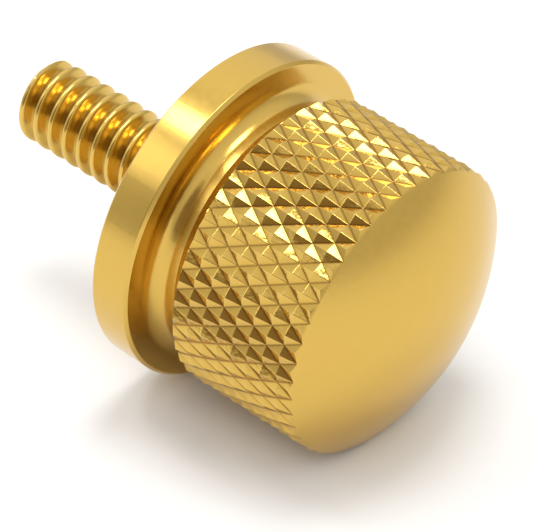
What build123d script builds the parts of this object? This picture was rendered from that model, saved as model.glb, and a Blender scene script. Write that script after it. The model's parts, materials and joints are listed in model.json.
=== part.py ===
from build123d import *
import math
import os

# Knurled bolt, turned from one bar: a threaded stud, a flange, a coved collar, and a head
# with a diamond knurl and a domed end. Lengths in mm, angles in degrees.
# It is drawn along its own axis, with the flange's seat at zero and the head upwards,
# and is then laid on its side, as it comes to rest on a table.

# Stud, at the major diameter of its thread
stud_diameter = 4.8
stud_length = 12.4
stud_tip_chamfer = 0.33

# Flange
flange_diameter = 18.8
flange_thickness = 2.45
flange_taper = 0.04          # by which the rim's radius is smaller beside the seat
flange_seat_bevel = 0.12     # on the rim's edge beside the seat
flange_head_bevel = 0.17     # on the rim's edge beside the head

# Collar between the flange and the head
flange_shelf = 2.15          # from the rim inwards to the collar
collar_length = 1.45
collar_cove = 0.93           # radius of the hollow that leads from the flange's face into the collar

# Head
head_height = 1.22           # of the knurl's crests above the collar
head_bevel = 1.0             # length along the axis of the slope from the collar up to the crests
head_length = 8.87           # from the collar to the edge of the dome, before that is rounded
dome_height = 2.8
shoulder_radius = 0.55       # of the rounding between the knurl and the dome

# Diamond knurl
knurl_depth = 0.2
knurl_count = 44             # diamonds in one turn
knurl_angle = 30.5           # of each groove to the axis, at half depth

overrun = 1.0                # how far the spindle's core reaches into the head

# Radii along the head, each from the one before it
flange_radius = flange_diameter / 2
collar_radius = flange_radius - flange_shelf
crest_radius = collar_radius + head_height
root_radius = crest_radius - knurl_depth

# Places along the axis
collar_end = flange_thickness + collar_length
head_end = collar_end + head_length

# The dome is a cap of a sphere, and the shoulder is an arc that touches it and the crests
dome_radius = (crest_radius**2 + dome_height**2) / (2 * dome_height)
dome_centre = head_end + dome_height - dome_radius
arc_radius = crest_radius - shoulder_radius
arc_centre = dome_centre + math.sqrt((dome_radius - shoulder_radius) ** 2 - arc_radius**2)
arc_share = dome_radius / (dome_radius - shoulder_radius)
arc_end = (arc_share * arc_radius, dome_centre + arc_share * (arc_centre - dome_centre))

# The knurl's grid: half a diamond round the axis and along it, and the last groove
# crossings, which lie on the shoulder
half_turn = 180.0 / knurl_count
half_width = math.pi * (crest_radius + root_radius) / knurl_count / 2
half_rise = half_width / math.tan(math.radians(knurl_angle))
last_crossing = arc_centre + math.sqrt(shoulder_radius**2 - (root_radius - arc_radius) ** 2)


def spindle():
    """Stud, flange and collar, turned as one profile, with a core that reaches into the head."""
    with BuildPart() as turned:
        with BuildSketch(Plane.XZ):
            with BuildLine():
                Polyline(
                    (0, -stud_length),
                    (stud_diameter / 2, -stud_length),
                    (stud_diameter / 2, 0),
                    (flange_radius - flange_taper, 0),
                    (flange_radius, flange_thickness),
                    (collar_radius, flange_thickness),
                    (collar_radius, collar_end + overrun),
                    (0, collar_end + overrun),
                    close=True,
                )
            make_face()
        revolve(axis=Axis.Z)
        rings = turned.edges().filter_by(GeomType.CIRCLE)

        def ring_at(radius, height):
            wanted = [ring for ring in rings if math.isclose(ring.radius, radius, rel_tol=1e-6)]
            return min(wanted, key=lambda ring: abs(ring.center().Z - height))

        chamfer(ring_at(stud_diameter / 2, -stud_length), stud_tip_chamfer)
        chamfer(ring_at(flange_radius - flange_taper, 0), flange_seat_bevel)
        chamfer(ring_at(flange_radius, flange_thickness), flange_head_bevel)
        fillet(ring_at(collar_radius, flange_thickness), collar_cove)
    return turned.part


def head_blank():
    """The head before knurling: a plain cylinder with a bevel at the collar and the domed end."""
    with BuildPart() as blank:
        with BuildSketch(Plane.XZ):
            with BuildLine():
                Polyline(
                    (0, head_end + dome_height),
                    (0, collar_end),
                    (collar_radius, collar_end),
                    (crest_radius, collar_end + head_bevel),
                    (crest_radius, arc_centre),
                )
                RadiusArc((crest_radius, arc_centre), arc_end, -shoulder_radius)
                RadiusArc(arc_end, (0, head_end + dome_height), -dome_radius)
            make_face()
        revolve(axis=Axis.Z)
    return blank.part


def knurl_body():
    """The knurl, longer than the head: rows of four-sided pyramids, each row half a diamond round.

    Columns and rows count half diamonds. The apexes lie on the outer circle, and the corners,
    where two grooves cross, on the root circle. The crossings of row zero lie on the shoulder.
    """
    first_row = -math.ceil((last_crossing - collar_end) / half_rise) - 1
    last_row = 1

    def grid_point(column, row, radius):
        turn = math.radians(column * half_turn)
        return (radius * math.cos(turn), radius * math.sin(turn), last_crossing + row * half_rise)

    faces = []
    for row in range(first_row, last_row + 1):
        for column in range((row + 1) % 2, 2 * knurl_count, 2):
            apex = grid_point(column, row, crest_radius)
            steps = [(1, 0), (0, 1), (-1, 0), (0, -1), (1, 0)]
            corners = [grid_point(column + across, row + up, root_radius) for across, up in steps]
            for corner, next_corner in zip(corners, corners[1:]):
                faces.append(Face(Wire.make_polygon([apex, corner, next_corner])))

    # A cone below and one above close the two zigzag ends
    foot = (0, 0, last_crossing + (first_row - 1) * half_rise - root_radius)
    peak = (0, 0, last_crossing + (last_row + 1) * half_rise + root_radius)
    for end, edge_row, outward in ((foot, first_row, -1), (peak, last_row, 1)):
        for column in range((edge_row + 1) % 2, 2 * knurl_count, 2):
            tip = grid_point(column, edge_row + outward, root_radius)
            for side in (-1, 1):
                notch = grid_point(column + side, edge_row, root_radius)
                faces.append(Face(Wire.make_polygon([end, tip, notch])))
    return Solid(Shell(faces))


head = head_blank() & knurl_body()
bolt = spindle() + head

# It lies on its rim and on the corners of the head that the table meets first,
# with the seams of its round faces on top
rim_height = flange_thickness - flange_head_bevel
rim_radius = flange_radius - flange_taper * flange_head_bevel / flange_thickness
dips = [math.atan2(rim_radius + corner.X, corner.Z - rim_height) for corner in head.vertices()]
rest_tilt = math.degrees(min(dips))
lying = Rotation(0, 90 + rest_tilt, 0) * Rotation(0, 0, 180) * bolt
box = lying.bounding_box()
knurled_bolt = Pos(-box.center().X, -box.center().Y, -box.min.Z) * lying

os.makedirs("parts", exist_ok=True)
export_step(knurled_bolt, "parts/knurled_bolt.step")
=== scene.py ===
import json
import math
import bpy
import numpy as np
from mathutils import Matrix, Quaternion, Vector


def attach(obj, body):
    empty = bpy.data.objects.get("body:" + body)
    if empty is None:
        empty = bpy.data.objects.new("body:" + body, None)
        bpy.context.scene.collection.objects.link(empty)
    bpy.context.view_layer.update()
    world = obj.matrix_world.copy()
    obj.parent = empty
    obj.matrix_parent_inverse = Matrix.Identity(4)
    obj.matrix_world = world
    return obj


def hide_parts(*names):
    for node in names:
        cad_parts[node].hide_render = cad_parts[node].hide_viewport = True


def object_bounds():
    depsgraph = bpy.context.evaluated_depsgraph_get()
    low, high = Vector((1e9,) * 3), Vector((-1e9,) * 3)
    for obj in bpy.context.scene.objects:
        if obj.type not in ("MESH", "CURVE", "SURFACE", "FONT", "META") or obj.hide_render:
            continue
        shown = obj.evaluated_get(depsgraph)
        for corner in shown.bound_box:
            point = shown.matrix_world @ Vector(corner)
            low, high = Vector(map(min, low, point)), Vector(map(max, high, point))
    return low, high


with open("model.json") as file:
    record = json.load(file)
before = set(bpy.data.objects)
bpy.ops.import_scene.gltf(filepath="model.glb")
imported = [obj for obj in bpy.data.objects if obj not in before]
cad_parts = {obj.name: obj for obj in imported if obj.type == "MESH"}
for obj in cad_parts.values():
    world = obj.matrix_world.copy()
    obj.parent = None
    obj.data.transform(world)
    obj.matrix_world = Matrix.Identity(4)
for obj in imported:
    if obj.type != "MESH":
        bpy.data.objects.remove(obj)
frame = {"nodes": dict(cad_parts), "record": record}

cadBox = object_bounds()
mm = 0.001                                    # sizes are in millimetres, the scene is in metres
print("frame loaded:", sorted(frame["nodes"]))

# Where the bolt lies: the seat's centre and the axis from the seat to the head, from the stud's mount
studMount = next(m for m in frame["record"]["mounts"] if m["name"] == "stud")
axis = -np.array(studMount["axis"])
seatCentre = np.array(studMount["pos_m"]) + axis * studMount["dims"]["length_mm"] * mm / 2
sideways = np.array([0.0, 1.0, 0.0])
downwards = np.cross(sideways, axis)          # angle zero round the axis looks down at the floor

size = {                                      # the bolt's turned form, in millimetres and degrees
    "studDiameter": 4.8, "studLength": 12.4, "tipChamfer": 0.33,
    "flangeDiameter": 18.8, "flangeThickness": 2.45, "flangeTaper": 0.04,
    "seatBevel": 0.12, "rimBevel": 0.17,
    "flangeShelf": 2.15, "collarLength": 1.45, "collarCove": 0.93,
    "headHeight": 1.22, "headBevel": 1.0, "headLength": 8.87,
    "domeHeight": 2.8, "shoulderRadius": 0.55,
    "knurlDepth": 0.2, "knurlCount": 44, "knurlAngle": 30.5,
}
studRadius = size["studDiameter"] / 2
rimRadius = size["flangeDiameter"] / 2
collarRadius = rimRadius - size["flangeShelf"]
crestRadius = collarRadius + size["headHeight"]
rootRadius = crestRadius - size["knurlDepth"]

# Places along the axis, from the seat
collarEnd = size["flangeThickness"] + size["collarLength"]
headEnd = collarEnd + size["headLength"]

# The dome is a cap of a sphere, and the shoulder is an arc that touches it and the crests
domeRadius = (crestRadius**2 + size["domeHeight"]**2) / (2 * size["domeHeight"])
domeCentre = headEnd + size["domeHeight"] - domeRadius
arcRadius = crestRadius - size["shoulderRadius"]
arcCentre = domeCentre + math.sqrt((domeRadius - size["shoulderRadius"]) ** 2 - arcRadius**2)
arcTilt = math.atan2(arcCentre - domeCentre, arcRadius)   # where the shoulder meets the dome

# Half a diamond of the knurl round the axis and along it, and its last crossings, on the shoulder
halfTurn = math.pi / size["knurlCount"]
halfWidth = (crestRadius + rootRadius) / 2 * halfTurn
halfRise = halfWidth / math.tan(math.radians(size["knurlAngle"]))
lastCrossing = arcCentre + math.sqrt(size["shoulderRadius"]**2 - (rootRadius - arcRadius) ** 2)


def smoothMin(a, b, width):                   # the smaller one, rounded where they are close
    return np.minimum(a, b) - np.maximum(width - np.abs(a - b), 0) ** 2 / (4 * width)


def crossingOf(gap, low, high, halvings=50):  # halves the stretch towards where gap turns positive
    for _ in range(halvings):
        middle = (low + high) / 2
        below = gap(middle) < 0
        low = np.where(below, middle, low)
        high = np.where(below, high, middle)
    return (low + high) / 2


knurlLook = {
    "ridgeShare": 0.05,                       # of half a diamond, how far the ridges are rounded
    "cellShares": [0.0, 0.025, 0.05, 0.5, 0.95, 0.975],   # samples of half a diamond
    "nudge": 0.001,                           # past rounding errors at the first sample
}


# Height of the knurl, 0 in the grooves to 1 at the apexes: u and v count half diamonds round the axis
# and along it, grooves run where u + v or u - v is even, and the height is the distance to the nearer
def knurlHeightAt(u, v):
    oneWay = 1 - np.abs((u + v) % 2 - 1)
    otherWay = 1 - np.abs((u - v) % 2 - 1)
    return np.clip(smoothMin(oneWay, otherWay, knurlLook["ridgeShare"]), 0, 1)


def knurlRadiusAt(u, v):                      # the root's radius and a share of the knurl's depth
    return rootRadius + size["knurlDepth"] * knurlHeightAt(u, v)


def knurlZ(v):                                # rows count half diamonds from the last crossings
    return lastCrossing + v * halfRise


threadLook = {
    "pitch": 1.058, "depth": 0.60, "crestWidth": 0.24, "flankAngle": 30.0,
    "crestRounding": 0.14, "rootRounding": 0.25,
    "runOut": 0.9,                            # length beside the seat in which the thread fades
    "coarser": 4,                             # columns of the head for each column of the stud
    "endRingShare": 0.9,                      # of the stud's end, where its flat is parted
    "turnShares": [0.0, 0.07, 0.12, 0.16, 0.2, 0.26, 0.31, 0.36, 0.42, 0.5,
                   0.58, 0.64, 0.69, 0.74, 0.8, 0.84, 0.88, 0.93],
}


# Radius of the stud: from each crest the flanks fall by the flank angle to the root, both rounded;
# turns is the place along the helix in pitches, whole at a crest
def threadRadiusAt(turns, z):
    look = threadLook

    def dropAt(fromCrest):
        drop = (fromCrest - look["crestWidth"] / 2) / math.tan(math.radians(look["flankAngle"]))
        drop = -smoothMin(-drop, 0 * drop, look["crestRounding"])
        return smoothMin(drop, look["depth"] + 0 * drop, look["rootRounding"])

    drop = dropAt(np.abs(turns - np.round(turns)) * look["pitch"]) - dropAt(np.zeros(1))
    fade = np.clip(-z / look["runOut"], 0, 1)
    fade = fade * fade * (3 - 2 * fade)       # eased at both ends
    tipCone = studRadius - size["tipChamfer"] + (z + size["studLength"])
    return np.minimum(studRadius - drop * fade, tipCone)


# A polyline whose corners are arcs: each arc touches both sides at the tangent length of its radius
def roundedProfile(points, radii, shares):
    points = np.array(points, float)
    rows = [points[:1]]
    for before, corner, after, radius, share in zip(points, points[1:], points[2:], radii, shares):
        inward = (before - corner) / np.linalg.norm(before - corner)
        onward = (after - corner) / np.linalg.norm(after - corner)
        halfAngle = math.acos(np.clip(inward @ onward, -1, 1)) / 2
        bisector = (inward + onward) / np.linalg.norm(inward + onward)
        centre = corner + bisector * radius / math.sin(halfAngle)
        start = corner + inward * radius / math.tan(halfAngle) - centre
        end = corner + onward * radius / math.tan(halfAngle) - centre
        sweep = math.pi - 2 * halfAngle
        turn = np.array(share)[:, None] * sweep
        rows.append(centre + (start * np.sin(sweep - turn) + end * np.sin(turn)) / math.sin(sweep))
    rows.append(points[-1:])
    return np.concatenate(rows)


# Points of the scene in metres: radius and angle round the bolt's axis and z along it, from the seat
def placed(radius, angle, z):
    radius, angle, z = np.broadcast_arrays(radius, angle, z)
    shares = ((radius * np.cos(angle), downwards), (radius * np.sin(angle), sideways), (z, axis))
    return seatCentre + mm * sum(share[..., None] * way for share, way in shares)


# Triangles of a grid whose rows run down the bolt and whose columns close round it;
# where leaning is true the square is parted along its other diagonal
def gridTriangles(first, rowCount, columnCount, leaning=None):
    row, column = np.mgrid[0:rowCount - 1, 0:columnCount]
    onward = (column + 1) % columnCount
    a = first + row * columnCount + column
    b = first + row * columnCount + onward
    c = first + (row + 1) * columnCount + onward
    d = first + (row + 1) * columnCount + column
    lean = np.zeros_like(a, bool) if leaning is None else leaning
    one = np.where(lean[..., None], np.stack([a, d, b], -1), np.stack([a, d, c], -1))
    two = np.where(lean[..., None], np.stack([d, c, b], -1), np.stack([a, c, b], -1))
    return np.concatenate([one.reshape(-1, 3), two.reshape(-1, 3)])


# Triangles between a fine ring outside and a coarse ring inside:
# each coarse point takes the fine edges near it
def ringTriangles(fine, coarse, fineCount, coarseCount):
    ratio = fineCount // coarseCount
    edge = np.arange(fineCount)
    owner = ((edge + ratio // 2) // ratio) % coarseCount
    fans = np.stack([fine + edge, coarse + owner, fine + (edge + 1) % fineCount], 1)
    span = np.arange(coarseCount)
    middle = (span * ratio + ratio // 2) % fineCount
    gaps = np.stack([fine + middle, coarse + span, coarse + (span + 1) % coarseCount], 1)
    return np.concatenate([fans, gaps])


# Triangles of the helical grid: each row climbs one pitch in a turn,
# so its end meets the row one turn further
def helixTriangles(first, rowCount, columnCount, rowsInTurn):
    row, column = np.mgrid[0:rowCount - rowsInTurn - 1, 0:columnCount]
    last = column == columnCount - 1
    a = first + row * columnCount + column
    b = np.where(last, first + (row + rowsInTurn) * columnCount, a + 1)
    c = b + columnCount
    d = a + columnCount
    return np.concatenate([np.stack(corners, -1).reshape(-1, 3) for corners in ([a, b, c], [a, c, d])])


# Triangles of a fan from a ring to its pole, facing 1 up the axis or -1 down it
def capTriangles(ring, pole, columnCount, facing):
    column = np.arange(columnCount)
    onward = (column + 1) % columnCount
    sides = (ring + column, ring + onward) if facing > 0 else (ring + onward, ring + column)
    return np.stack([np.full(columnCount, pole), *sides], 1)


# Collects points, with their height in the relief and their path along the profile, and triangles
class MeshParts:
    def __init__(self):
        self.points, self.relief, self.path, self.triangles, self.zones = [], [], [], [], []
        self.count = 0

    def addPoints(self, points, relief=0.5, path=0.0):
        self.relief.append(np.broadcast_to(relief, points.shape[:-1]).ravel())
        self.path.append(np.broadcast_to(path, points.shape[:-1]).ravel())
        points = points.reshape(-1, 3)
        self.points.append(points)
        self.count += len(points)
        return self.count - len(points)

    def addTriangles(self, triangles, zone):
        self.triangles.append(triangles)
        self.zones.append(np.full(len(triangles), zone))


zoneNames = ["domeSatin", "knurlBright", "turnedSatin", "threadRolled"]
domeZone, knurlZone, turnedZone, threadZone = range(len(zoneNames))

domeLook = {
    "ringShares": [0.0, 0.06, 0.12, 0.18, 0.24, 0.3, 0.36, 0.42, 0.48, 0.54, 0.6, 0.66,
                   0.72, 0.78, 0.84, 0.9, 0.96, 1.0],
    "shoulderShares": [0.05, 0.2, 0.4, 0.6, 0.8, 0.95],
}
neckLook = {
    "cornerRadii": {"collar": 0.06, "rimBevel": 0.05, "seatBevel": 0.04},
    "arcShares": [0.0, 0.06, 0.3, 0.7, 0.94, 1.0],        # samples of a rounded corner
    "coveShares": [0.0, 0.02, 0.1, 0.2, 0.3, 0.4, 0.5, 0.6, 0.7, 0.8, 0.9, 0.98, 1.0],
    "bevelShare": 0.7,                        # how far up the head's bevel the neck reaches
    "seatRings": [3.4, 2.9],                  # where the seat passes to the stud's fewer columns
}


# Dome, knurl and neck share their columns, which run round the axis and are close at the knurl's ridges
def headAndNeck(parts):
    cell = np.array(knurlLook["cellShares"])
    u = (np.arange(2 * size["knurlCount"])[:, None] + cell).ravel()
    angle = u * halfTurn
    columnCount = len(u)

    # Knurl: rows from its crossings on the shoulder down to the bevel at the collar, trimmed to both
    def bevelRadius(v):                       # rises evenly from the collar to the crests
        return collarRadius + size["headHeight"] * (knurlZ(v) - collarEnd) / size["headBevel"]

    def shoulderRadiusAt(v):                  # a quarter circle above its centre, plain below it
        above = np.maximum(knurlZ(v) - arcCentre, 0)
        return arcRadius + np.sqrt(size["shoulderRadius"]**2 - above**2)

    startRow = (collarEnd - lastCrossing) / halfRise
    bevelRow = startRow + size["headBevel"] / halfRise
    lowest = crossingOf(lambda v: bevelRadius(v) - knurlRadiusAt(u, v),
                        0 * u + startRow, 0 * u + bevelRow)
    highest = crossingOf(lambda v: knurlRadiusAt(u, v) - shoulderRadiusAt(v), 0 * u - 1, 0 * u)
    v = np.append((np.arange(math.floor(startRow), 0)[:, None] + cell).ravel(), 0)[::-1]
    rows = np.clip(v[:, None], lowest, highest)
    knurl = placed(knurlRadiusAt(u, rows), angle, knurlZ(rows))
    knurlRelief = knurlHeightAt(u, rows)

    # Dome: rings of the sphere from its pole outwards, then of the shoulder's arc to the knurl's edge
    ring = np.array(domeLook["ringShares"])[1:, None] * (math.pi / 2 - arcTilt)
    dome = placed(domeRadius * np.sin(ring), angle, domeCentre + domeRadius * np.cos(ring))
    edgeTilt = np.arcsin(np.maximum(knurlZ(highest) - arcCentre, 0) / size["shoulderRadius"])
    tilt = arcTilt + np.array(domeLook["shoulderShares"])[:, None] * (edgeTilt - arcTilt)
    shoulder = placed(arcRadius + size["shoulderRadius"] * np.cos(tilt), angle,
                      arcCentre + size["shoulderRadius"] * np.sin(tilt))

    # Neck: the bevel's foot, the collar with its cove, the flange and its seat, as one rounded profile
    look = neckLook
    radii = look["cornerRadii"]
    thickness = size["flangeThickness"]
    seatRadius = rimRadius - size["flangeTaper"]
    rimSlope = size["flangeTaper"] / thickness
    bevelFoot = (collarRadius + look["bevelShare"] * size["headHeight"],
                 collarEnd + look["bevelShare"] * size["headBevel"])
    rimFoot = (rimRadius - rimSlope * size["rimBevel"], thickness - size["rimBevel"])
    seatTop = (seatRadius + rimSlope * size["seatBevel"], size["seatBevel"])
    corners = [
        (bevelFoot, None, None),
        ((collarRadius, collarEnd), radii["collar"], "arcShares"),
        ((collarRadius, thickness), size["collarCove"], "coveShares"),
        ((rimRadius - size["rimBevel"], thickness), radii["rimBevel"], "arcShares"),
        (rimFoot, radii["rimBevel"], "arcShares"),
        (seatTop, radii["seatBevel"], "arcShares"),
        ((seatRadius - size["seatBevel"], 0), radii["seatBevel"], "arcShares"),
        ((look["seatRings"][0], 0), None, None),
    ]
    inner = corners[1:-1]
    profile = roundedProfile([p for p, _, _ in corners], [r for _, r, _ in inner],
                             [look[k] for _, _, k in inner])
    neck = placed(profile[:, :1], angle, profile[:, 1:])

    neckPath = np.append(0, np.cumsum(np.linalg.norm(np.diff(profile, axis=0), axis=1)))
    shoulderPath = domeRadius * ring[-1] + size["shoulderRadius"] * (arcTilt - tilt)
    pole = parts.addPoints(placed(np.zeros(1), np.zeros(1), np.array([domeCentre + domeRadius])))
    domeStart = parts.addPoints(dome, path=domeRadius * ring)
    parts.addPoints(shoulder, path=shoulderPath)
    knurlStart = parts.addPoints(knurl, knurlRelief, shoulderPath[-1])
    neckStart = parts.addPoints(neck, path=neckPath[:, None])
    between = np.floor((v[:-1] + v[1:]) / 2)
    leaning = (np.floor(u + knurlLook["nudge"]) + between[:, None]) % 2 == 0   # along the ridges
    parts.addTriangles(capTriangles(domeStart, pole, columnCount, 1), domeZone)
    parts.addTriangles(gridTriangles(domeStart, len(dome) + len(shoulder) + 1, columnCount), domeZone)
    parts.addTriangles(gridTriangles(knurlStart, len(v), columnCount, leaning), knurlZone)
    edgeStart = neckStart - columnCount       # the knurl's last row joins the neck's first
    parts.addTriangles(gridTriangles(edgeStart, len(profile) + 1, columnCount), turnedZone)
    return neckStart + (len(profile) - 1) * columnCount, columnCount


# The stud's rows climb along the helix, held between the seat and the tip; rings close both ends
def threadedStud(parts, seatRing, fineCount):
    look = threadLook
    columnCount = fineCount // look["coarser"]
    angle = np.arange(columnCount) * 2 * math.pi / columnCount
    shares = np.array(look["turnShares"])
    firstTurn = -math.ceil(size["studLength"] / look["pitch"]) - 1    # one turn more at each end
    turns = (np.arange(firstTurn, 2)[:, None] + shares).ravel()
    z = np.clip((turns[:, None] + angle / (2 * math.pi)) * look["pitch"], -size["studLength"], 0)
    place = z / look["pitch"] - angle / (2 * math.pi)
    radius = threadRadiusAt(place, z)
    relief = (radius - studRadius) / look["depth"] + 1                # 1 on the crests, 0 in the roots
    start = parts.addPoints(placed(radius, angle, z), relief)
    parts.addTriangles(helixTriangles(start, len(turns), columnCount, len(shares)), threadZone)

    inner = parts.addPoints(placed(np.full(columnCount, neckLook["seatRings"][1]), angle, 0 * angle))
    parts.addPoints(placed(np.full(columnCount, studRadius), angle, 0 * angle))
    parts.addTriangles(ringTriangles(seatRing, inner, fineCount, columnCount), turnedZone)
    parts.addTriangles(gridTriangles(inner, 2, columnCount), turnedZone)

    endZ = np.full(columnCount, -size["studLength"])
    endRadius = threadRadiusAt(endZ / look["pitch"] - angle / (2 * math.pi), endZ)
    rim = parts.addPoints(placed(endRadius, angle, endZ))
    within = parts.addPoints(placed(endRadius * look["endRingShare"], angle, endZ))
    tip = parts.addPoints(placed(np.zeros(1), np.zeros(1), endZ[:1]))
    parts.addTriangles(gridTriangles(rim, 2, columnCount), threadZone)
    parts.addTriangles(capTriangles(within, tip, columnCount, -1), threadZone)


meshLook = {"sharpAngle": 30.0}               # degrees, from which an edge is shown sharp


# One closed mesh: doubled points are merged, and triangles that shrink to a line are left out
def boltMesh(name, look):
    parts = MeshParts()
    seatRing, columnCount = headAndNeck(parts)
    threadedStud(parts, seatRing, columnCount)
    points, firstUse, merged = np.unique(
        np.concatenate(parts.points), axis=0, return_index=True, return_inverse=True)
    triangles = merged.ravel()[np.concatenate(parts.triangles)]
    zones = np.concatenate(parts.zones)
    relief = np.concatenate(parts.relief)[firstUse]
    path = np.concatenate(parts.path)[firstUse]
    sound = (triangles != np.roll(triangles, 1, axis=1)).all(axis=1)      # three different corners
    triangles, zones = triangles[sound], zones[sound]

    mesh = bpy.data.meshes.new(name)
    mesh.vertices.add(len(points))
    mesh.vertices.foreach_set("co", points.astype(np.float32).ravel())
    mesh.loops.add(triangles.size)
    mesh.loops.foreach_set("vertex_index", triangles.astype(np.int32).ravel())
    mesh.polygons.add(len(triangles))
    mesh.polygons.foreach_set("loop_start", np.arange(0, triangles.size, 3, dtype=np.int32))
    mesh.polygons.foreach_set("material_index", zones.astype(np.int32))
    mesh.update(calc_edges=True)
    mesh.validate()
    for key, values in (("relief", relief), ("path", path)):
        mesh.attributes.new(key, "FLOAT", "POINT").data.foreach_set("value", values.astype(np.float32))
    mesh.polygons.foreach_set("use_smooth", np.ones(len(mesh.polygons), bool))
    mesh.set_sharp_from_angle(angle=math.radians(look["sharpAngle"]))

    # An edge between two zones is sharp as well
    edges = np.zeros(len(mesh.loops), np.int32)
    mesh.loops.foreach_get("edge_index", edges)
    zoneOfLoop = np.repeat(zones, 3)
    low = np.full(len(mesh.edges), len(zoneNames))
    high = np.full(len(mesh.edges), -1)
    np.minimum.at(low, edges, zoneOfLoop)
    np.maximum.at(high, edges, zoneOfLoop)
    sharp = np.zeros(len(mesh.edges), bool)
    mesh.edges.foreach_get("use_edge_sharp", sharp)
    mesh.edges.foreach_set("use_edge_sharp", sharp | (low != high))
    print("bolt mesh:", len(points), "points,", len(triangles), "triangles")
    return mesh


boltSkin = bpy.data.objects.new("knurledBoltSkin", boltMesh("knurledBoltSkin", meshLook))
bpy.context.scene.collection.objects.link(boltSkin)
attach(boltSkin, "root")
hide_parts("knurled_bolt")

# Finishes: one gold for the four zones, each with its own values
# The groove colour is painted shade, laid into the bottoms of the knurl's grooves and the thread's
# roots
goldLook = {"deepGold": (0.56, 0.335, 0.060, 1.0), "paleGold": (0.72, 0.50, 0.130, 1.0),
            "grooveShadeGold": (0.24, 0.13, 0.03, 1.0)}
finishLook = {                                # lengths in millimetres
    "domeSatin": {"roughness": 0.25, "grain": 0.012, "grainSize": 0.4,
                  "lines": 0.00012, "lineSpacing": 0.05},
    "knurlBright": {"roughness": 0.11, "grain": 0.03, "grainSize": 0.35,
                    "marks": 0.018, "steeper": 0.065},
    "turnedSatin": {"roughness": 0.20, "grain": 0.02, "grainSize": 0.4,
                    "lines": 0.00015, "lineSpacing": 0.06},
    "threadRolled": {"roughness": 0.18, "grain": 0.05, "grainSize": 0.3},
}
grainLook = {"detail": 3.0, "low": 0.3, "high": 0.7}      # of the noise, and its usual range
toneLook = {
    "base": 0.15, "grainShare": 0.2, "reliefShare": 0.5,  # of the way from deep to pale gold
    "grooveTop": 0.16, "grooveBottom": 0.02,              # in the relief, where painted shade darkens the grooves
    "grooveShadeShare": 0.75,                                  # share of the painted groove shade at the groove's bottom
}


def newGroup(name, inputs, outputs):          # a shader group with these sockets, and its two end nodes
    group = bpy.data.node_groups.new(name, "ShaderNodeTree")
    for direction, sockets in (("INPUT", inputs), ("OUTPUT", outputs)):
        for socketName, kind in sockets:
            group.interface.new_socket(socketName, in_out=direction, socket_type=kind)
    return group, group.nodes.new("NodeGroupInput"), group.nodes.new("NodeGroupOutput")


def turningLines():                           # a fine bump that changes only along the turned profile
    group, start, end = newGroup(
        "turningLines", [("Lines", "NodeSocketFloat"), ("Depth", "NodeSocketFloat")],
        [("Normal", "NodeSocketVector")])
    path = group.nodes.new("ShaderNodeAttribute")
    path.attribute_name = "path"
    count = group.nodes.new("ShaderNodeMath")
    count.operation = "MULTIPLY"
    cut = group.nodes.new("ShaderNodeTexNoise")
    cut.noise_dimensions = "1D"
    cut.inputs["Scale"].default_value = 1.0
    bump = group.nodes.new("ShaderNodeBump")
    group.links.new(path.outputs["Fac"], count.inputs[0])
    group.links.new(start.outputs["Lines"], count.inputs[1])
    group.links.new(count.outputs[0], cut.inputs["W"])
    group.links.new(cut.outputs["Fac"], bump.inputs["Height"])
    group.links.new(start.outputs["Depth"], bump.inputs["Distance"])
    group.links.new(bump.outputs["Normal"], end.inputs["Normal"])
    return group


def metalGrain():                             # uneven polish: the roughness wanders by the given amount
    group, start, end = newGroup(
        "metalGrain",
        [("Scale", "NodeSocketFloat"), ("Low", "NodeSocketFloat"), ("High", "NodeSocketFloat")],
        [("Shade", "NodeSocketFloat"), ("Roughness", "NodeSocketFloat")])
    place = group.nodes.new("ShaderNodeTexCoord")
    cloud = group.nodes.new("ShaderNodeTexNoise")
    cloud.inputs["Detail"].default_value = grainLook["detail"]
    spread = group.nodes.new("ShaderNodeMapRange")
    spread.inputs["From Min"].default_value = grainLook["low"]
    spread.inputs["From Max"].default_value = grainLook["high"]
    group.links.new(place.outputs["Object"], cloud.inputs["Vector"])
    group.links.new(start.outputs["Scale"], cloud.inputs["Scale"])
    group.links.new(cloud.outputs["Fac"], spread.inputs["Value"])
    group.links.new(start.outputs["Low"], spread.inputs["To Min"])
    group.links.new(start.outputs["High"], spread.inputs["To Max"])
    group.links.new(cloud.outputs["Fac"], end.inputs["Shade"])
    group.links.new(spread.outputs["Result"], end.inputs["Roughness"])
    return group


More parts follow.
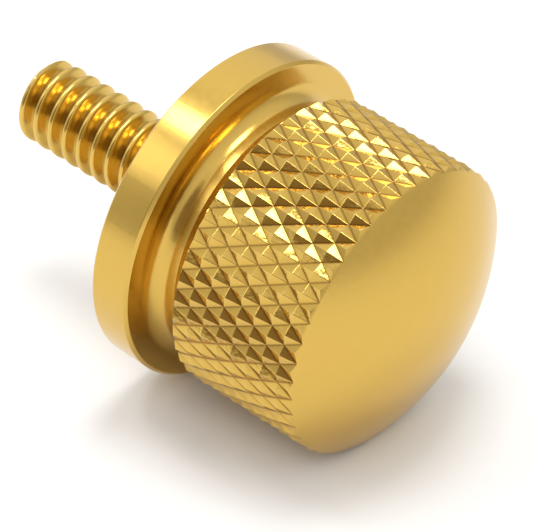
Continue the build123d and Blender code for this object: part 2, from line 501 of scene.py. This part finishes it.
def reliefWearAndShade():                             # paler towards the ridges as wear, deeper towards the grooves as painted shade, a little uneven
    group, start, end = newGroup(
        "reliefWearAndShade",
        [("Shade", "NodeSocketFloat"), ("Deep", "NodeSocketColor"), ("Pale", "NodeSocketColor"),
         ("GrooveShade", "NodeSocketColor")],
        [("Color", "NodeSocketColor")])
    relief = group.nodes.new("ShaderNodeAttribute")
    relief.attribute_name = "relief"
    uneven = group.nodes.new("ShaderNodeMath")
    uneven.operation = "MULTIPLY_ADD"
    uneven.inputs[1].default_value = toneLook["grainShare"]
    uneven.inputs[2].default_value = toneLook["base"]
    lift = group.nodes.new("ShaderNodeMath")
    lift.operation = "MULTIPLY_ADD"
    lift.inputs[1].default_value = toneLook["reliefShare"]
    lift.use_clamp = True
    tone = group.nodes.new("ShaderNodeMix")
    tone.data_type = "RGBA"
    # painted shade: the bottoms of the grooves and roots darken towards the groove shade colour
    bottom = group.nodes.new("ShaderNodeMapRange")
    bottom.inputs["From Min"].default_value = toneLook["grooveTop"]
    bottom.inputs["From Max"].default_value = toneLook["grooveBottom"]
    bottom.inputs["To Max"].default_value = toneLook["grooveShadeShare"]
    grooveShaded = group.nodes.new("ShaderNodeMix")
    grooveShaded.data_type = "RGBA"
    group.links.new(relief.outputs["Fac"], lift.inputs[0])
    group.links.new(start.outputs["Shade"], uneven.inputs[0])
    group.links.new(uneven.outputs[0], lift.inputs[2])
    group.links.new(lift.outputs[0], tone.inputs["Factor"])
    group.links.new(start.outputs["Deep"], tone.inputs["A"])
    group.links.new(start.outputs["Pale"], tone.inputs["B"])
    group.links.new(relief.outputs["Fac"], bottom.inputs["Value"])
    group.links.new(bottom.outputs["Result"], grooveShaded.inputs["Factor"])
    group.links.new(tone.outputs["Result"], grooveShaded.inputs["A"])
    group.links.new(start.outputs["GrooveShade"], grooveShaded.inputs["B"])
    group.links.new(grooveShaded.outputs["Result"], end.inputs["Color"])
    return group


def cutFacets():                              # facets shade a little steeper, with cutting marks
    group, start, end = newGroup(
        "cutFacets",
        [("Shade", "NodeSocketFloat"), ("Marks", "NodeSocketFloat"), ("Steeper", "NodeSocketFloat")],
        [("Normal", "NodeSocketVector")])
    relief = group.nodes.new("ShaderNodeAttribute")
    relief.attribute_name = "relief"
    steeper = group.nodes.new("ShaderNodeBump")
    marks = group.nodes.new("ShaderNodeBump")
    group.links.new(relief.outputs["Fac"], steeper.inputs["Height"])
    group.links.new(start.outputs["Steeper"], steeper.inputs["Distance"])
    group.links.new(start.outputs["Shade"], marks.inputs["Height"])
    group.links.new(start.outputs["Marks"], marks.inputs["Distance"])
    group.links.new(steeper.outputs["Normal"], marks.inputs["Normal"])
    group.links.new(marks.outputs["Normal"], end.inputs["Normal"])
    return group


finishGroups = {"lines": turningLines(), "grain": metalGrain(),
                "tone": reliefWearAndShade(), "facets": cutFacets()}


# Gold metal with the zone's own polish, and turning lines or cut facets where the zone has them
def goldMaterial(name, look):
    material = bpy.data.materials.new(name)
    material.use_nodes = True
    tree = material.node_tree
    shader = tree.nodes["Principled BSDF"]
    shader.inputs["Metallic"].default_value = 1.0

    def groupNode(key):
        node = tree.nodes.new("ShaderNodeGroup")
        node.node_tree = finishGroups[key]
        return node

    grain = groupNode("grain")
    grain.inputs["Scale"].default_value = 1 / (look["grainSize"] * mm)
    grain.inputs["Low"].default_value = look["roughness"] - look["grain"]
    grain.inputs["High"].default_value = look["roughness"] + look["grain"]
    tree.links.new(grain.outputs["Roughness"], shader.inputs["Roughness"])
    # painted shade in the grooves and roots, paler wear on the ridges and crests
    tone = groupNode("tone")
    tone.inputs["Deep"].default_value = goldLook["deepGold"]
    tone.inputs["Pale"].default_value = goldLook["paleGold"]
    tone.inputs["GrooveShade"].default_value = goldLook["grooveShadeGold"]
    tree.links.new(grain.outputs["Shade"], tone.inputs["Shade"])
    tree.links.new(tone.outputs["Color"], shader.inputs["Base Color"])
    if "lines" in look:
        lines = groupNode("lines")
        lines.inputs["Lines"].default_value = 1 / look["lineSpacing"]
        lines.inputs["Depth"].default_value = look["lines"] * mm
        tree.links.new(lines.outputs["Normal"], shader.inputs["Normal"])
    if "marks" in look:
        facets = groupNode("facets")
        facets.inputs["Marks"].default_value = look["marks"] * mm
        facets.inputs["Steeper"].default_value = look["steeper"] * mm
        tree.links.new(grain.outputs["Shade"], facets.inputs["Shade"])
        tree.links.new(facets.outputs["Normal"], shader.inputs["Normal"])
    return material


for zone in zoneNames:
    boltSkin.data.materials.append(goldMaterial(zone, finishLook[zone]))
print("finishes made:", zoneNames)

# Floor: a pale disc of points on one circle
floorLook = {"radius": 160.0, "columns": 96,
             "colour": (0.86, 0.86, 0.86, 1.0), "roughness": 0.5, "specular": 0.2}


def floorDisc(look):
    turn = np.arange(look["columns"]) * 2 * math.pi / look["columns"]
    points = np.stack([np.cos(turn), np.sin(turn), 0 * turn], 1) * look["radius"] * mm
    mesh = bpy.data.meshes.new("studioFloor")
    mesh.from_pydata(points.tolist(), [], [list(range(look["columns"]))])
    floor = bpy.data.objects.new("studioFloor", mesh)
    bpy.context.scene.collection.objects.link(floor)
    material = bpy.data.materials.new("palePaper")
    material.use_nodes = True
    shader = material.node_tree.nodes["Principled BSDF"]
    shader.inputs["Base Color"].default_value = look["colour"]
    shader.inputs["Roughness"].default_value = look["roughness"]
    shader.inputs["Specular IOR Level"].default_value = look["specular"]
    floor.data.materials.append(material)


floorDisc(floorLook)
print("floor laid")

# Light: a tent that is dim at the horizon, with a dark opening beside the camera, soft boxes above and
# at the sides, and a fill for the floor
studioLook = {
    "tentRamp": [(0.0, 1.0), (0.48, 1.0), (0.5, 0.66),    # height from 0 below to 1 above, and level
                 (0.58, 0.70), (0.75, 0.92), (1.0, 1.05)],
    "opening": {"azimuth": -86.0, "elevation": 21.0, "inner": 21.0, "outer": 37.0,
                "sill": 0.06, "colour": (0.32, 0.25, 0.19, 1.0)},
    "boxDistance": 400.0,
    "boxes": {
        "topBox": {"azimuth": 110.0, "elevation": 84.0, "size": 150.0, "radiance": 7.5},
        "keyBox": {"azimuth": -157.0, "elevation": 64.0, "size": 85.0, "radiance": 8.0},
        "sideBox": {"azimuth": -134.0, "elevation": 41.0, "size": 150.0, "radiance": 1.0},
        "backBox": {"azimuth": 130.0, "elevation": 38.0, "size": 320.0, "radiance": 0.2},
        "floorFill": {"azimuth": -60.0, "elevation": 42.0, "size": 300.0, "radiance": 1.1,
                      "onlyFloor": True},
    },
}
lookAt = Vector((cadBox[0] + cadBox[1]) / 2)


def directionOf(azimuth, elevation):          # a unit vector, azimuth from x towards y
    a, e = math.radians(azimuth), math.radians(elevation)
    return Vector((math.cos(e) * math.cos(a), math.cos(e) * math.sin(a), math.sin(e)))


# The tent's brightness follows the height of a direction, and darkens towards the opening's middle
def studioTent(look):
    opening = look["opening"]
    world = bpy.data.worlds.new("studioTent")
    bpy.context.scene.world = world
    world.use_nodes = True
    tree = world.node_tree
    place = tree.nodes.new("ShaderNodeTexCoord")
    split = tree.nodes.new("ShaderNodeSeparateXYZ")
    height = tree.nodes.new("ShaderNodeMapRange")
    height.inputs["From Min"].default_value = -1.0
    ramp = tree.nodes.new("ShaderNodeValToRGB")
    stops = ramp.color_ramp.elements          # it starts with one at 0 and one at 1
    for share, _ in look["tentRamp"][1:-1]:
        stops.new(share)
    for stop, (_, level) in zip(stops, look["tentRamp"]):
        stop.color = (level, level, level, 1.0)
    toOpening = tree.nodes.new("ShaderNodeVectorMath")
    toOpening.operation = "DOT_PRODUCT"
    toOpening.inputs[1].default_value = directionOf(opening["azimuth"], opening["elevation"])
    shade = tree.nodes.new("ShaderNodeMapRange")
    shade.interpolation_type = "SMOOTHSTEP"
    shade.inputs["From Min"].default_value = math.cos(math.radians(opening["outer"]))
    shade.inputs["From Max"].default_value = math.cos(math.radians(opening["inner"]))
    above = tree.nodes.new("ShaderNodeMapRange")          # the opening ends at the horizon
    above.inputs["From Max"].default_value = opening["sill"]
    within = tree.nodes.new("ShaderNodeMath")
    within.operation = "MULTIPLY"
    dark = tree.nodes.new("ShaderNodeMix")
    dark.data_type = "RGBA"
    dark.inputs["B"].default_value = opening["colour"]
    for source, target in (
            (place.outputs["Generated"], split.inputs[0]),
            (split.outputs["Z"], height.inputs["Value"]),
            (height.outputs["Result"], ramp.inputs["Fac"]),
            (place.outputs["Generated"], toOpening.inputs[0]),
            (toOpening.outputs["Value"], shade.inputs["Value"]),
            (split.outputs["Z"], above.inputs["Value"]),
            (shade.outputs["Result"], within.inputs[0]),
            (above.outputs["Result"], within.inputs[1]),
            (within.outputs[0], dark.inputs["Factor"]),
            (ramp.outputs["Color"], dark.inputs["A"]),
            (dark.outputs["Result"], tree.nodes["Background"].inputs["Color"])):
        tree.links.new(source, target)


def softBox(name, look, distance):            # a square lamp that faces the bolt
    lamp = bpy.data.lights.new(name, "AREA")
    lamp.shape = "SQUARE"
    lamp.size = look["size"] * mm
    lamp.energy = look["radiance"] * math.pi * lamp.size**2   # power is pi x radiance x area
    holder = bpy.data.objects.new(name, lamp)
    bpy.context.scene.collection.objects.link(holder)
    way = directionOf(look["azimuth"], look["elevation"])
    holder.location = lookAt + way * distance * mm
    holder.rotation_euler = way.to_track_quat("Z", "Y").to_euler()
    holder.visible_glossy = not look.get("onlyFloor", False)  # metal doesn't mirror the floor's fill


studioTent(studioLook)
for boxName, boxLook in studioLook["boxes"].items():
    softBox(boxName, boxLook, studioLook["boxDistance"])
print("studio lit")

# Camera: a long lens, looking down at the head from the front right
cameraLook = {
    "azimuth": -50.195, "elevation": 34.669, "roll": 1.785, "distance": 198.98,
    "aim": (2.453, -0.003, 7.127), "lens": 252.44, "sensor": 36.0, "clipStart": 10.0,
}


def photoCamera(look):
    camera = bpy.data.cameras.new("photoCamera")
    camera.sensor_width = look["sensor"]
    camera.lens = look["lens"]
    camera.clip_start = look["clipStart"] * mm
    holder = bpy.data.objects.new("photoCamera", camera)
    bpy.context.scene.collection.objects.link(holder)
    way = directionOf(look["azimuth"], look["elevation"])
    holder.location = Vector(look["aim"]) * mm + way * look["distance"] * mm
    lean = Quaternion((0.0, 0.0, 1.0), math.radians(look["roll"]))
    holder.rotation_euler = (way.to_track_quat("Z", "Y") @ lean).to_euler()
    bpy.context.scene.camera = holder


photoCamera(cameraLook)
bpy.context.scene.view_settings.view_transform = "Standard"
print("camera placed")
